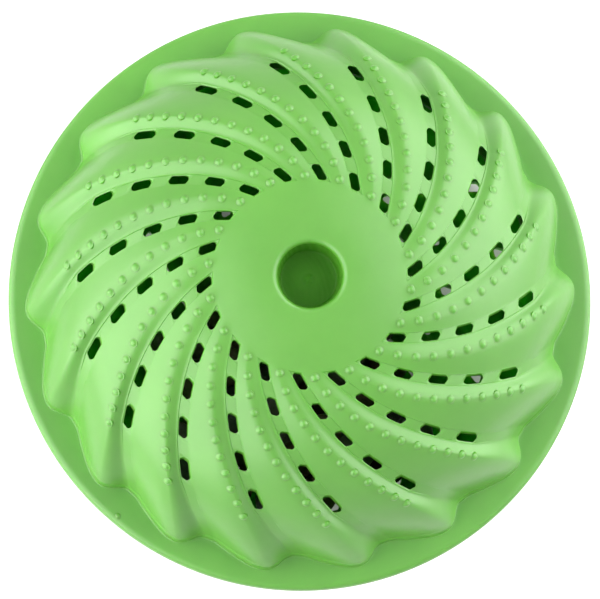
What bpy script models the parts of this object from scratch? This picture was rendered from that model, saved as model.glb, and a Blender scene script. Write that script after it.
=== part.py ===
"""Laundry ball: two slotted, wavy half shells that close on a heap of loose ceramic beads.

The ball stands on the flat ring round its lower cup, with its axis along Z. The parting plane
of the two halves is level, and the beads lie in the lower half as they do after the ball was
laid down from its edge: higher on one side than on the other.
"""

import math
import random

import bmesh
import bpy

# Whole ball, in metres
BALL_HEIGHT = 0.0800
FLANGE_RADIUS = 0.0550
FLANGE_REACH = 0.0050
FIT_GAP = 0.0003

# Dome of each half shell
WALL = 0.0018
FOOT_RADIUS = FLANGE_RADIUS - FLANGE_REACH
FOOT_HEIGHT = 0.0052
DOME_LIFT = 0.0027
CROWN_RADIUS = 0.0060
HUB_FLAT_RADIUS = 0.0120
HUB_RADIUS = 0.0176
WAVE_HEIGHT = 0.0019
WAVE_EARLY_SHARE = 0.46
WAVE_EARLY_GROWTH = 0.8
WAVE_LATE_GROWTH = 14
FOOT_VALLEY_SHARE = 0.338

# Arms: the slots lie on an arc in plan, as (arc radius, distance and angle of its centre)
ARM_COUNT = 18
SLOT_ARC = (0.7856 * FOOT_RADIUS, 0.6454 * FOOT_RADIUS, math.radians(159.16))
RIDGE_START = math.radians(69.6)
RIDGE_SWEEP = math.radians(58.6)
RIDGE_BEND = math.radians(7.8)
LOWER_HALF_TURN = math.radians(12.5)

# Slots
SLOTS_PER_ARM = 5
FIRST_SLOT_INSET = 0.0023
LAST_SLOT_INSET = 0.00838
SLOT_LENGTH = 0.00290
SLOT_WIDTH = 0.00160

# Flange round the foot of each dome
FLANGE_THICKNESS = 0.0017
LIP_WIDTH = 0.0023
LIP_HEIGHT = 0.0007
TROUGH_DROP = 0.0003
SKIRT_DRAFT = 0.0002
LIP_SHOULDER = 0.0009
LEDGE_WIDTH = 0.0004
SPIGOT_WIDTH = 0.0012
SPIGOT_HEIGHT = 0.0014

# Blind cup in the middle of each hub
CUP_DEPTH = 0.0060
CUP_MOUTH_RADIUS = 0.0061
CUP_FLOOR_RADIUS = 0.0055
CUP_FILLET = 0.0005
CUP_EDGE_ROUND = 0.0008

# Magnet behind each cup, and the cap that holds it
MAGNET_RADIUS = 0.0056
MAGNET_THICKNESS = 0.0030
CAP_THICKNESS = 0.0012
CAP_PLUG_HEIGHT = 0.0010

# Beads
BEAD_DIAMETER = 0.0080
BEADS_PER_KIND = 12
HEAP_SLOPE = math.radians(22.0)
HEAP_SIDE = math.radians(265.0)
HEAP_SEED = 7
START_SPREAD = 0.55
START_RISE = 0.95
SETTLE_STEPS = 420
SETTLE_PULL = 0.0006
SPREAD_STEPS = 160

# Mesh fineness
PLAIN_SEGMENTS = 36
FOOT_ROW_COUNT = 4
BEAD_SUBDIVISION_COUNT = 2
STATIONS_BEFORE_SLOT_COUNT = 2
VALLEY_SEARCH_COUNT = 40
SHARP_ANGLE = math.radians(35)

# Worked out from the sizes above
HALF_HEIGHT = BALL_HEIGHT / 2
PARTING = FIT_GAP / 2
ARM_ANGLE = 2 * math.pi / ARM_COUNT
BORE_RADIUS = FOOT_RADIUS - WAVE_HEIGHT - WALL - LEDGE_WIDTH
BOSS_RADIUS = max(CUP_MOUTH_RADIUS, MAGNET_RADIUS + FIT_GAP) + WALL
POCKET_RADIUS = MAGNET_RADIUS + FIT_GAP
POCKET_FLOOR = HALF_HEIGHT - CUP_DEPTH - WALL
MAGNET_TOP = POCKET_FLOOR - FIT_GAP
MAGNET_BOTTOM = MAGNET_TOP - MAGNET_THICKNESS
PLUG_TOP = MAGNET_BOTTOM - FIT_GAP
BOSS_END = PLUG_TOP - CAP_PLUG_HEIGHT
CAP_TOP = BOSS_END - FIT_GAP
CAP_FACE = CAP_TOP - CAP_THICKNESS
FIRST_SLOT_RADIUS = HUB_RADIUS + FIRST_SLOT_INSET
LAST_SLOT_RADIUS = FOOT_RADIUS - LAST_SLOT_INSET
LAST_SLOT_EDGE = LAST_SLOT_RADIUS + SLOT_LENGTH / 2

SHELL_GREEN = (0.22, 0.57, 0.11)
CAP_GREEN = (0.12, 0.40, 0.07)
MAGNET_GREY = (0.10, 0.10, 0.11)
SHELL_ROUGHNESS = 0.3
CAP_ROUGHNESS = 0.4
MAGNET_ROUGHNESS = 0.6
BEAD_ROUGHNESS = 0.35
BEAD_KINDS = {
    "cream": (0.72, 0.66, 0.52),
    "grey": (0.42, 0.43, 0.46),
    "tan": (0.50, 0.38, 0.24),
    "brown": (0.25, 0.13, 0.08),
}


def ellipse_through(near, far):
    """Half width and half height of the ellipse about the origin that passes through two points."""
    span = (near[1] * far[0]) ** 2 - (near[0] * far[1]) ** 2
    return math.sqrt(span / (near[1] ** 2 - far[1] ** 2)), math.sqrt(span / (far[0] ** 2 - near[0] ** 2))


# The dome's profile is an ellipse through the edge of the hub's flat ring and the foot line
DOME_WIDTH, DOME_RISE = ellipse_through(
    (HUB_FLAT_RADIUS - CROWN_RADIUS, HALF_HEIGHT - DOME_LIFT),
    (FOOT_RADIUS - CROWN_RADIUS, FOOT_HEIGHT - DOME_LIFT),
)
FOOT_TURN = math.asin((FOOT_RADIUS - CROWN_RADIUS) / DOME_WIDTH)


def clear_scene():
    """Takes every object out of the open scene."""
    for obj in list(bpy.data.objects):
        bpy.data.objects.remove(obj, do_unlink=True)


def plain_material(name, colour, roughness):
    """A Principled material of one colour."""
    material = bpy.data.materials.new(name)
    material.use_nodes = True
    shader = material.node_tree.nodes["Principled BSDF"]
    shader.inputs["Base Color"].default_value = (*colour, 1.0)
    shader.inputs["Roughness"].default_value = roughness
    material.diffuse_color = (*colour, 1.0)
    return material


def add_object(name, bm, material):
    """Turns a bmesh into a named, smooth-shaded object."""
    bmesh.ops.recalc_face_normals(bm, faces=bm.faces)
    mesh = bpy.data.meshes.new(name)
    bm.to_mesh(mesh)
    bm.free()
    mesh.materials.append(material)
    mesh.shade_smooth()
    mesh.set_sharp_from_angle(angle=SHARP_ANGLE)
    obj = bpy.data.objects.new(name, mesh)
    bpy.context.collection.objects.link(obj)
    return obj


# Shape of the dome: turn is the angle along the elliptical profile, 0 at the crown


def turn_at(radius):
    """The profile angle at which the plain dome has this radius."""
    return math.asin((radius - CROWN_RADIUS) / DOME_WIDTH)


def dome_normal(turn):
    """Outward normal of the plain dome, as (radial, vertical)."""
    radial = math.sin(turn) / DOME_WIDTH
    vertical = math.cos(turn) / DOME_RISE
    length = math.hypot(radial, vertical)
    return radial / length, vertical / length


def arm_share(radius):
    """How far out along the arms a radius lies: 0 at the hub's edge and 1 at the foot."""
    return max(0.0, (radius - HUB_RADIUS) / (FOOT_RADIUS - HUB_RADIUS))


def wave_share(radius):
    """How much of its full height a wave has at a radius: it rises early and flares at the foot."""
    share = arm_share(radius)
    early = share**WAVE_EARLY_GROWTH
    return WAVE_EARLY_SHARE * early + (1 - WAVE_EARLY_SHARE) * share**WAVE_LATE_GROWTH


def dome_point(turn, wave):
    """Radius and height of the outer face: wave is 1 on a ridge and -1 in a valley."""
    radius = CROWN_RADIUS + DOME_WIDTH * math.sin(turn)
    height = DOME_RISE * math.cos(turn) + DOME_LIFT
    swell = WAVE_HEIGHT * wave_share(radius) * wave
    radial, vertical = dome_normal(turn)
    return radius + radial * swell, height + vertical * swell


def valley_turn(radius):
    """The profile angle at which the valley line has this radius in plan."""
    low = turn_at(HUB_RADIUS)
    high = FOOT_TURN
    for _ in range(VALLEY_SEARCH_COUNT):
        middle = (low + high) / 2
        if dome_point(middle, -1)[0] < radius:
            low = middle
        else:
            high = middle
    return low


def ridge_angle(radius):
    """The angle round the axis at which the first arm's ridge crosses this radius."""
    share = arm_share(radius)
    return RIDGE_START + RIDGE_SWEEP * share - RIDGE_BEND * share**3


def slot_angle(radius):
    """The angle round the axis at which the first arm's line of slots crosses this radius."""
    arc_radius, distance, centre_angle = SLOT_ARC
    cosine = (radius**2 + distance**2 - arc_radius**2) / (2 * radius * distance)
    return centre_angle - math.acos(cosine)


def slot_lean(radius):
    """The angle in plan between the line of slots and the radial direction."""
    arc_radius, distance, _ = SLOT_ARC
    cosine = (radius**2 + arc_radius**2 - distance**2) / (2 * radius * arc_radius)
    return math.pi / 2 - math.acos(cosine)


def row_turns():
    """Profile angles of the dome's rows: the hub edge, both ends of each slot, then the foot."""
    turns = [turn_at(HUB_RADIUS)]
    pitch = (LAST_SLOT_RADIUS - FIRST_SLOT_RADIUS) / (SLOTS_PER_ARM - 1)
    for slot in range(SLOTS_PER_ARM):
        middle = FIRST_SLOT_RADIUS + slot * pitch
        turns.append(valley_turn(middle - SLOT_LENGTH / 2))
        turns.append(valley_turn(middle + SLOT_LENGTH / 2))
    last = turns[-1]
    step = (FOOT_TURN - last) / FOOT_ROW_COUNT
    turns += [last + step * (row + 1) for row in range(FOOT_ROW_COUNT)]
    return turns


def stations(turn, foot_share):
    """One arm's five (angle, wave) places on a row: ridge, steep side, slot edges and slow side."""
    ridge = ridge_angle(dome_point(turn, 1)[0])
    valley_radius = dome_point(turn, -1)[0]
    slot_radius = min(valley_radius, LAST_SLOT_EDGE)
    slot_ridge = ridge_angle(dome_point(valley_turn(slot_radius), 1)[0])
    share = ((slot_angle(slot_radius) - slot_ridge) / ARM_ANGLE) % 1.0
    share += (FOOT_VALLEY_SHARE - share) * foot_share
    half_width = SLOT_WIDTH / 2 / math.cos(slot_lean(slot_radius)) / valley_radius
    left = ridge + share * ARM_ANGLE - half_width
    right = ridge + share * ARM_ANGLE + half_width
    return [
        (ridge, 1.0),
        ((ridge + left) / 2, 0.0),
        (left, -1.0),
        (right, -1.0),
        ((right + ridge + ARM_ANGLE) / 2, 0.0),
    ]


def wall_offset(turn):
    """From the outer face to the inner one: straight down where slots are, else square to the face."""
    radial, vertical = dome_normal(turn)
    if turn <= valley_turn(LAST_SLOT_EDGE):
        return 0.0, -WALL / vertical
    return -WALL * radial, -WALL * vertical


def ring_vertex(bm, radius, height, direction):
    """One vertex at a radius and height, in a direction round the axis."""
    return bm.verts.new((radius * direction[0], radius * direction[1], height))


def dome_rows(bm):
    """The outer and inner rows of vertices of the dome, hub edge first."""
    turns = row_turns()
    foot_start = turns[-FOOT_ROW_COUNT - 1]
    outer, inner = [], []
    for turn in turns:
        foot_share = max(0.0, (turn - foot_start) / (turns[-1] - foot_start))
        inwards, downwards = wall_offset(turn)
        outer_row, inner_row = [], []
        for arm in range(ARM_COUNT):
            for angle, wave in stations(turn, foot_share):
                radius, height = dome_point(turn, wave)
                direction = math.cos(angle + arm * ARM_ANGLE), math.sin(angle + arm * ARM_ANGLE)
                outer_row.append(ring_vertex(bm, radius, height, direction))
                inner_row.append(ring_vertex(bm, radius + inwards, height + downwards, direction))
        outer.append(outer_row)
        inner.append(inner_row)
    return outer, inner


def ring(bm, radius, height, count, start=0.0):
    """A level circle of vertices."""
    angles = [start + 2 * math.pi * i / count for i in range(count)]
    return [ring_vertex(bm, radius, height, (math.cos(a), math.sin(a))) for a in angles]


def ring_like(bm, row, radius, height):
    """A level circle of vertices at the angles of another row."""
    angles = [math.atan2(vertex.co.y, vertex.co.x) for vertex in row]
    return [ring_vertex(bm, radius, height, (math.cos(a), math.sin(a))) for a in angles]


def stitch(bm, first, second, skip=()):
    """Joins two closed rings that may differ in count: equal ones with quads, others with triangles."""
    a, b = len(first), len(second)
    if a == b:
        for i in range(a):
            if i not in skip:
                j = (i + 1) % a
                bm.faces.new((first[i], first[j], second[j], second[i]))
        return
    i = j = 0
    while i < a or j < b:
        if j == b or (i < a and (i + 0.5) * b <= (j + 0.5) * a):
            bm.faces.new((first[i % a], first[(i + 1) % a], second[j % b]))
            i += 1
        else:
            bm.faces.new((first[i % a], second[(j + 1) % b], second[j % b]))
            j += 1


def stitch_all(bm, rings):
    """Joins each ring to the next."""
    for first, second in zip(rings, rings[1:]):
        stitch(bm, first, second)


def close_ring(bm, row, height):
    """Closes a ring with a fan about a point on the axis."""
    centre = bm.verts.new((0.0, 0.0, height))
    for i, vertex in enumerate(row):
        bm.faces.new((vertex, row[(i + 1) % len(row)], centre))


def dome_faces(bm, outer, inner):
    """Skins both faces of the dome and walls the slots, which stay open."""
    per_arm = len(outer[0]) // ARM_COUNT
    slots = {arm * per_arm + STATIONS_BEFORE_SLOT_COUNT for arm in range(ARM_COUNT)}
    for row in range(len(outer) - 1):
        has_slots = row % 2 == 1 and row < 2 * SLOTS_PER_ARM
        skip = slots if has_slots else ()
        stitch(bm, outer[row], outer[row + 1], skip)
        stitch(bm, inner[row], inner[row + 1], skip)
        for i in sorted(skip):
            corners = ((row, i), (row, i + 1), (row + 1, i + 1), (row + 1, i))
            for (r, s), (next_r, next_s) in zip(corners, corners[1:] + corners[:1]):
                bm.faces.new((outer[r][s], outer[next_r][next_s], inner[next_r][next_s], inner[r][s]))


def cup_and_hub(bm, hub_row):
    """Outer face inside the waves: the cup's floor, its wall and rounded edge, and the flat ring."""
    start = math.atan2(hub_row[0].co.y, hub_row[0].co.x)
    floor = HALF_HEIGHT - CUP_DEPTH
    bend = CUP_EDGE_ROUND * (1 - math.sqrt(0.5))
    profile = [
        (CUP_FLOOR_RADIUS - CUP_FILLET, floor),
        (CUP_FLOOR_RADIUS, floor + CUP_FILLET),
        (CUP_MOUTH_RADIUS, HALF_HEIGHT - CUP_EDGE_ROUND),
        (CUP_MOUTH_RADIUS + bend, HALF_HEIGHT - bend),
        (CUP_MOUTH_RADIUS + CUP_EDGE_ROUND, HALF_HEIGHT),
        (HUB_FLAT_RADIUS, HALF_HEIGHT),
    ]
    rings = [ring(bm, r, z, PLAIN_SEGMENTS, start) for r, z in profile]
    close_ring(bm, rings[0], floor)
    stitch_all(bm, rings + [hub_row])


def magnet_boss(bm, hub_row):
    """Inner face inside the waves: the hub's underside and the boss with the magnet's pocket."""
    start = math.atan2(hub_row[0].co.y, hub_row[0].co.x)
    profile = [
        (BOSS_RADIUS, HALF_HEIGHT - WALL),
        (BOSS_RADIUS, BOSS_END),
        (POCKET_RADIUS, BOSS_END),
        (POCKET_RADIUS, POCKET_FLOOR),
    ]
    rings = [ring(bm, r, z, PLAIN_SEGMENTS, start) for r, z in profile]
    stitch_all(bm, [hub_row] + rings)
    close_ring(bm, rings[-1], POCKET_FLOOR)


def skirt(bm, outer_foot):
    """The ring at the bottom of the short wall that drops from the foot line to the trough."""
    places = []
    for vertex in outer_foot:
        radius = math.hypot(vertex.co.x, vertex.co.y)
        direction = vertex.co.x / radius, vertex.co.y / radius
        places.append((radius + SKIRT_DRAFT, direction))
    height = FLANGE_THICKNESS - TROUGH_DROP
    return [ring_vertex(bm, radius, height, direction) for radius, direction in places]


def flange(bm, outer_foot, inner_foot, has_spigot):
    """The rim round the foot: skirt, trough and lip, the parting face, and the ledge inside."""
    lip_top = FLANGE_THICKNESS + LIP_HEIGHT
    profile = [
        (FLANGE_RADIUS - LIP_WIDTH, FLANGE_THICKNESS),
        (FLANGE_RADIUS - LIP_WIDTH / 2, lip_top),
        (FLANGE_RADIUS, lip_top - LIP_SHOULDER),
        (FLANGE_RADIUS, PARTING),
    ]
    if has_spigot:
        spigot_outside = BORE_RADIUS - FIT_GAP
        bore = spigot_outside - SPIGOT_WIDTH
        profile += [(spigot_outside, PARTING), (spigot_outside, -SPIGOT_HEIGHT), (bore, -SPIGOT_HEIGHT)]
    else:
        bore = BORE_RADIUS
        profile += [(bore, PARTING)]
    profile += [(bore, FLANGE_THICKNESS)]
    rings = [skirt(bm, outer_foot)] + [ring_like(bm, outer_foot, r, z) for r, z in profile]
    stitch_all(bm, [outer_foot] + rings + [inner_foot])


def half_shell(name, material, has_spigot):
    """One half of the ball, hub up, with the parting plane at its origin."""
    bm = bmesh.new()
    outer, inner = dome_rows(bm)
    dome_faces(bm, outer, inner)
    cup_and_hub(bm, outer[0])
    magnet_boss(bm, inner[0])
    flange(bm, outer[-1], inner[-1], has_spigot)
    return add_object(name, bm, material)


def turned(name, profile, material):
    """A solid turned about Z from (radius, height) points between two points on the axis."""
    bm = bmesh.new()
    rings = [ring(bm, radius, height, PLAIN_SEGMENTS) for radius, height in profile]
    close_ring(bm, rings[0], profile[0][1])
    stitch_all(bm, rings)
    close_ring(bm, rings[-1], profile[-1][1])
    return add_object(name, bm, material)


def magnet(name, material):
    """Disc magnet in its pocket, in the half shell's own frame."""
    return turned(name, [(MAGNET_RADIUS, MAGNET_TOP), (MAGNET_RADIUS, MAGNET_BOTTOM)], material)


def magnet_cap(name, material):
    """Cap whose plug closes the magnet's pocket, in the half shell's own frame."""
    profile = [
        (MAGNET_RADIUS, PLUG_TOP),
        (MAGNET_RADIUS, CAP_TOP),
        (BOSS_RADIUS, CAP_TOP),
        (BOSS_RADIUS, CAP_FACE),
    ]
    return turned(name, profile, material)


def bead_wall():
    """The surface round the beads, as (radius, height) points from the lower cap to the upper one."""
    profile = [(0.0, CAP_FACE), (BOSS_RADIUS, CAP_FACE), (BOSS_RADIUS, HALF_HEIGHT - WALL)]
    for turn in row_turns():
        radius, height = dome_point(turn, -1)
        inwards, downwards = wall_offset(turn)
        profile.append((radius + inwards, height + downwards))
    lower = [(radius, HALF_HEIGHT - height) for radius, height in profile]
    upper = [(radius, HALF_HEIGHT + height) for radius, height in reversed(profile)]
    return lower + upper


def nearest_on(profile, radius, height):
    """The point of a profile nearest to (radius, height), and its distance."""
    best = (0.0, 0.0, math.inf)
    for (r0, z0), (r1, z1) in zip(profile, profile[1:]):
        along_r, along_z = r1 - r0, z1 - z0
        share = ((radius - r0) * along_r + (height - z0) * along_z) / (along_r**2 + along_z**2)
        share = min(1.0, max(0.0, share))
        r, z = r0 + share * along_r, z0 + share * along_z
        distance = math.sqrt((radius - r) ** 2 + (height - z) ** 2)
        if distance < best[2]:
            best = (r, z, distance)
    return best


def push_apart(centres, distance):
    """Moves each pair of beads that is too close apart by half of what is missing."""
    for i, a in enumerate(centres):
        for b in centres[:i]:
            step = [a[k] - b[k] for k in range(3)]
            square = step[0] * step[0] + step[1] * step[1] + step[2] * step[2]
            if 0.0 < square < distance * distance:
                length = math.sqrt(square)
                half = (distance - length) / length / 2
                for k in range(3):
                    a[k] += step[k] * half
                    b[k] -= step[k] * half


def keep_inside(centres, profile, distance):
    """Moves each bead that is too close to the shell or the cap away from it."""
    for centre in centres:
        radius = math.sqrt(centre[0] ** 2 + centre[1] ** 2)
        r, z, length = nearest_on(profile, radius, centre[2])
        if length < distance:
            away = (distance - length) / length
            grown = (radius + (radius - r) * away) / radius
            centre[0] *= grown
            centre[1] *= grown
            centre[2] += (centre[2] - z) * away


def settled_beads(count):
    """Centres of the beads after they have slid down into the lower half, nowhere touching."""
    draw = random.Random(HEAP_SEED)
    flat = math.sin(HEAP_SLOPE)
    pull = (flat * math.cos(HEAP_SIDE), flat * math.sin(HEAP_SIDE), -math.cos(HEAP_SLOPE))
    spread = BORE_RADIUS * START_SPREAD
    rise = CAP_FACE * START_RISE
    centres = []
    for _ in range(count):
        x, y = draw.uniform(-spread, spread), draw.uniform(-spread, spread)
        centres.append([x, y, HALF_HEIGHT + draw.uniform(-rise, rise)])
    profile = bead_wall()
    apart = BEAD_DIAMETER + FIT_GAP
    clear = BEAD_DIAMETER / 2 + FIT_GAP
    for step in range(SETTLE_STEPS + SPREAD_STEPS):
        share = max(0.0, 1.0 - step / SETTLE_STEPS)
        for centre in centres:
            for k in range(3):
                centre[k] += pull[k] * SETTLE_PULL * share
        push_apart(centres, apart)
        keep_inside(centres, profile, clear)
    return centres


def bead(name, centre, material, parent):
    """One round bead."""
    bm = bmesh.new()
    bmesh.ops.create_icosphere(bm, subdivisions=BEAD_SUBDIVISION_COUNT, radius=BEAD_DIAMETER / 2)
    obj = add_object(name, bm, material)
    obj.location = centre
    obj.parent = parent
    return obj


def bead_heap():
    """All the beads, under one empty on the ball's axis, which turns them about it."""
    bed = bpy.data.objects.new("bead_bed", None)
    bpy.context.collection.objects.link(bed)
    centres = settled_beads(len(BEAD_KINDS) * BEADS_PER_KIND)
    kinds = list(BEAD_KINDS) * BEADS_PER_KIND
    random.Random(HEAP_SEED).shuffle(kinds)
    materials = {}
    for kind, colour in BEAD_KINDS.items():
        materials[kind] = plain_material(f"ceramic_{kind}", colour, BEAD_ROUGHNESS)
    made = dict.fromkeys(BEAD_KINDS, 0)
    for kind, centre in zip(kinds, centres):
        made[kind] += 1
        bead(f"bead_{kind}_{made[kind]:02d}", centre, materials[kind], bed)


def half_ball(side, turn, has_spigot):
    """One half shell with its magnet and cap, on the ball's axis."""
    plastic = plain_material(f"{side}_plastic", SHELL_GREEN, SHELL_ROUGHNESS)
    ferrite = plain_material(f"{side}_ferrite", MAGNET_GREY, MAGNET_ROUGHNESS)
    cap_plastic = plain_material(f"{side}_cap_plastic", CAP_GREEN, CAP_ROUGHNESS)
    pieces = [
        half_shell(f"{side}_shell", plastic, has_spigot),
        magnet(f"{side}_magnet", ferrite),
        magnet_cap(f"{side}_magnet_cap", cap_plastic),
    ]
    for piece in pieces:
        piece.location = (0.0, 0.0, HALF_HEIGHT)
        piece.rotation_euler = turn


def main():
    clear_scene()
    half_ball("upper", (0.0, 0.0, 0.0), False)
    half_ball("lower", (math.pi, 0.0, LOWER_HALF_TURN), True)
    bead_heap()


main()
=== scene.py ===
"""Looks of a laundry ball: moulded green half shells, tumbled ceramic beads, magnets and caps.

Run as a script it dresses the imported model, piece by piece, and lights it on a pale floor.
"""

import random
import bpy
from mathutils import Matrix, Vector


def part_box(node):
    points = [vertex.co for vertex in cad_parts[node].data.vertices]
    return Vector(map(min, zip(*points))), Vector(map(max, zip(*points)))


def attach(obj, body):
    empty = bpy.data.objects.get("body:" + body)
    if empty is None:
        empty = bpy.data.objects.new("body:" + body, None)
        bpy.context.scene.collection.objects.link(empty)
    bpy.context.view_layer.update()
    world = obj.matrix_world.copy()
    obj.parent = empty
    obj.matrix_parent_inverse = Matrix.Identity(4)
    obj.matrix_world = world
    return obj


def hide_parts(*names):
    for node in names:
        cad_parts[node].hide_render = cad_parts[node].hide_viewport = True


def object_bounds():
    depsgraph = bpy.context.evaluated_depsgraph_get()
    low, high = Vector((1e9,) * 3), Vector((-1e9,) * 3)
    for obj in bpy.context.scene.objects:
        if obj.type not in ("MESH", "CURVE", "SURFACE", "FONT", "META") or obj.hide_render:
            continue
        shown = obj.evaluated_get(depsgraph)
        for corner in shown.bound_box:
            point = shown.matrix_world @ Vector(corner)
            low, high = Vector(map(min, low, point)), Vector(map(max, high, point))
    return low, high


bl_info = {
    "name": "Laundry Ball Looks",
    "version": (1, 0, 0),
    "blender": (4, 5, 0),
    "location": "View3D > Sidebar > Laundry Ball",
    "description": "Half shells, ceramic beads, magnets and a plain studio for a laundry ball",
    "category": "Object",
}

from collections import namedtuple
from itertools import accumulate
from math import acos, asin, atan2, cos, exp, hypot, pi, radians, sin, sqrt, tan

import bmesh
import bpy
from bpy.props import FloatProperty, FloatVectorProperty, IntProperty, PointerProperty
from mathutils import Matrix, Vector, noise

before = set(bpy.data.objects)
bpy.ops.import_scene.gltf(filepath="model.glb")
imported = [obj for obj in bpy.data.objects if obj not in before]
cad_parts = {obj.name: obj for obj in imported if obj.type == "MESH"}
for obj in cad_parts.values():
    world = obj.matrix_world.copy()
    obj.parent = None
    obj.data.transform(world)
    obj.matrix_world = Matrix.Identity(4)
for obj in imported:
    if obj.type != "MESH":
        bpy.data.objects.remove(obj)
CAD_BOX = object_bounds()

# Plan and profile of the arms, which both shells share, in metres
ARM_COUNT = 18
ARM_ANGLE = 2 * pi / ARM_COUNT
CROWN_RADIUS = 0.006
HUB_FLAT_RADIUS = 0.012
HUB_CROWN_RADIUS = 0.007
HUB_SINK = 0.0006
HUB_SINK_REACH = 0.007
HUB_RADIUS = 0.0176
FLANGE_REACH = 0.005
FOOT_HEIGHT = 0.0052
DOME_LIFT = 0.0027
FOOT_FLARE = 0.00086
FOOT_DROP = 0.0053
FLARE_START = radians(55)
SLOT_ARC = (0.7856, 0.6454, radians(159.16))
RIDGE_START = radians(69.6)
RIDGE_SWEEP = radians(58.6)
RIDGE_BEND = radians(7.8)
LOWER_HALF_TURN = radians(12.5)
WAVE_EARLY_SHARE = 0.46
WAVE_EARLY_GROWTH = 0.8
WAVE_LATE_GROWTH = 14
FOOT_VALLEY_SHARE = 0.338

# Slots and the channel that joins them
SLOTS_PER_ARM = 5
FIRST_SLOT_INSET = 0.0023
LAST_SLOT_INSET = 0.00838
SLOT_LENGTH = 0.00298
SLOT_CORNER = 0.00058
CORNER_STEPS = (0.0, 0.05, 0.15, 0.32, 0.60, 1.0, 1.6)
SLOT_CHAMFER = 0.00008
CHANNEL_STEP = 0.00006
CHANNEL_FADE = 2.2
FOOT_CHANNEL_WIDTH = 0.001

# Rounding of the waves, as shares of a side's width: at the crest, then at the valley
STEEP_ROUNDING = (0.55, 0.30)
SLOW_ROUNDING = (0.30, 0.06)
STEEP_FOOT_ROUNDING = (0.55, 0.35)
SLOW_FOOT_ROUNDING = (0.30, 0.12)

# Flange, parting face and spigot
FIT_GAP = 0.0003
PARTING = FIT_GAP / 2
FLANGE_THICKNESS = 0.0017
BRIM_CROWN = 0.0002
BRIM_FALL = 0.0005
BRIM_END_INSET = 0.0017
SKIRT_DRAFT = 0.0002
SKIRT_FILLET = 0.00028
LEDGE_WIDTH = 0.0004
SPIGOT_WIDTH = 0.0012
SPIGOT_HEIGHT = 0.0014
BEVEL = 0.0002

# The short wall below the foot line, as shares of its draft and of its drop
SKIRT_STEPS = ((0.35, 0.04), (0.75, 0.13), (1.0, 0.30), (1.0, 0.65))
# The rim's rounding, as distances in from the edge and down from its top
LIP_START = 0.0014
LIP_INSETS = (0.0011, 0.00085, 0.0006, 0.00038, 0.00018, 0.00005, 0.0)
LIP_DROPS = (0.0, 0.00006, 0.00015, 0.00028, 0.00048, 0.00072, 0.001)

# Hub, cup, magnet and cap
HUB_EDGE_INSET = 0.0007
HUB_RINGS_END = 0.0085
HUB_RING_STEP = 0.0008
CUP_DEPTH = 0.006
CUP_MOUTH_RADIUS = 0.0061
CUP_FLOOR_RADIUS = 0.0055
CUP_FILLET = 0.0005
CUP_BEND = 0.0011
CUP_FLOOR_RADII_MM = (4.2, 3.2, 2.4, 1.9, 1.6, 1.35, 1.15, 0.98, 0.8, 0.62, 0.45, 0.28, 0.12)
BOSS_FILLET = 0.0006
MAGNET_RADIUS = 0.0056
MAGNET_THICKNESS = 0.003
MAGNET_EDGE = 0.0003
CAP_THICKNESS = 0.0012
CAP_PLUG_HEIGHT = 0.001
CAP_EDGE = 0.00025
CAP_DISH_DEPTH = 0.00018

# Mark of the mould's gate in the cup: mound, groove and grain as (height, radius, width)
GATE_MOUND = (0.00022, 0.0, 0.00062)
GATE_GROOVE = (-0.0001, 0.00115, 0.00025)
GATE_GRAIN = (0.00022, 0.0, 0.0009)
GATE_FINENESS = 1900

# Nubs: profile from the top outwards, as shares of a nub's radius and height
FIRST_NUB_RADIUS = 0.0192
NUB_SEARCH_STEP = 0.0004
NUB_REACHES = (0.20, 0.40, 0.58, 0.74, 0.88, 1.00, 1.14, 1.26, 1.26)
NUB_LIFTS = (0.97, 0.88, 0.73, 0.52, 0.30, 0.14, 0.03, -0.02, -1.2)
DOT_INSET = 0.0014
DOT_SIDE = radians(229.8)

# Beads
BEAD_SEED = 11
BEAD_SUBDIVISIONS = 4
BEAD_FULLNESS = 0.992

# Camera target, from the middle of the ball's foot
CAMERA_TARGET = (0.00008, 0.00031, 0.04)

# Lamps: azimuth, elevation and half of the angle that each fills
LEFT_LAMP = (radians(192.1), radians(20.9), radians(48.7))
RIGHT_LAMP = (radians(20.3), radians(20.5), radians(44.6))

# Dark parts of the surroundings: azimuth, elevation and how narrow each is
CAMERA_SHADE = (radians(67.5), radians(82.4), 8.5)
BACK_SHADE = (radians(123.6), radians(84.4), 6.0)
FRONT_SHADE = (radians(270), radians(20), 2.0)
DARKEST_SKY = 0.02

# Mesh fineness
FOOT_ROW_COUNT = 22
STEEP_COLUMNS = 12
SLOW_COLUMNS = 16
COLUMN_EASE = 0.55
VALLEY_SEARCH_COUNT = 40
WALL_TURN_RATE = 2.5
HUB_SEGMENTS = 144
TURNED_SEGMENTS = 72
NUB_SEGMENTS = 12
SHARP_ANGLE = radians(40)

# A row of the dome: cut is 1 between a slot's ends and 2 on them, opens says that it starts a gap
Row = namedtuple("Row", "turn insets depth cut opens foot_share")


# Kinds of settings that a user may change


def length(name, description, default):
    return FloatProperty(name=name, description=description, default=default, subtype="DISTANCE")


def angle(name, description, default):
    return FloatProperty(name=name, description=description, default=default, subtype="ANGLE")


def amount(name, description, default):
    return FloatProperty(name=name, description=description, default=default, min=0.0)


def colour(name, description, default):
    return FloatVectorProperty(
        name=name, description=description, default=default, subtype="COLOR", min=0.0, max=1.0
    )


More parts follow.
